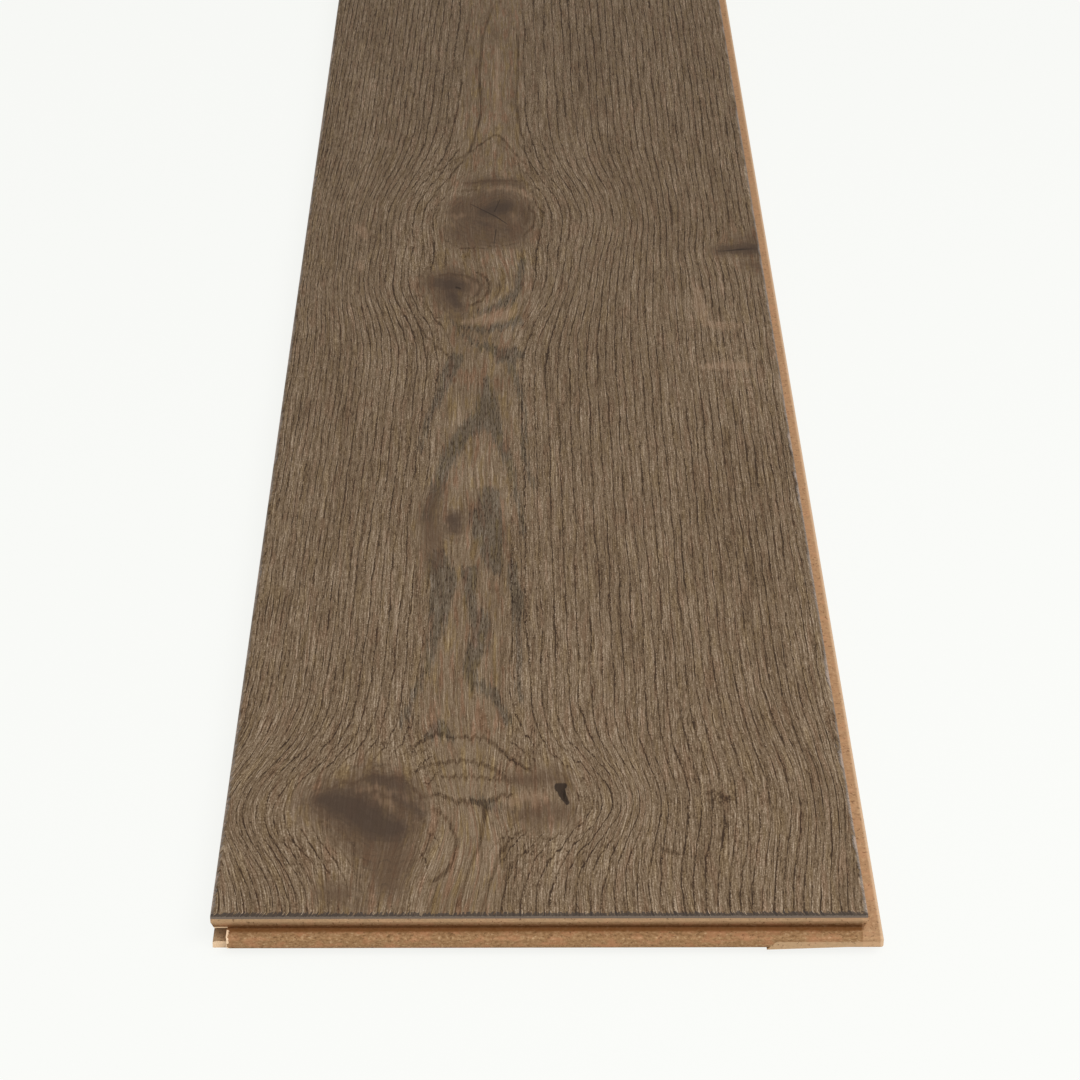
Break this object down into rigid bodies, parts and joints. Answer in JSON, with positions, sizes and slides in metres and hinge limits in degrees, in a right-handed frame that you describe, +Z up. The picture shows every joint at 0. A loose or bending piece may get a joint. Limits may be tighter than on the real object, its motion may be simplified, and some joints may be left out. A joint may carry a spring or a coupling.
{
  "type": "wide plank floorboard",
  "caption": "Wide plank floorboard: a brushed, stained oak face with dark bevelled edges on a fibreboard core, tongued and grooved along its sides and ends.",
  "frame": {"origin": "on the underside, below the middle of the oak face", "axes": "+X across the board to the long tongue, +Y along the board away from the end tongue, +Z up through the oak face"},
  "size_m": [0.2455, 2.2055, 0.015],
  "materials": {
    "hdf_core": "cut fibreboard, matt",
    "oak_face": "brushed oak, brown-grey stain, matt, dark bevels"
  },
  "bodies": {
    "root": {"hdf_core": "hdf_core", "oak_face": "oak_face"}
  },
  "joints": []
}
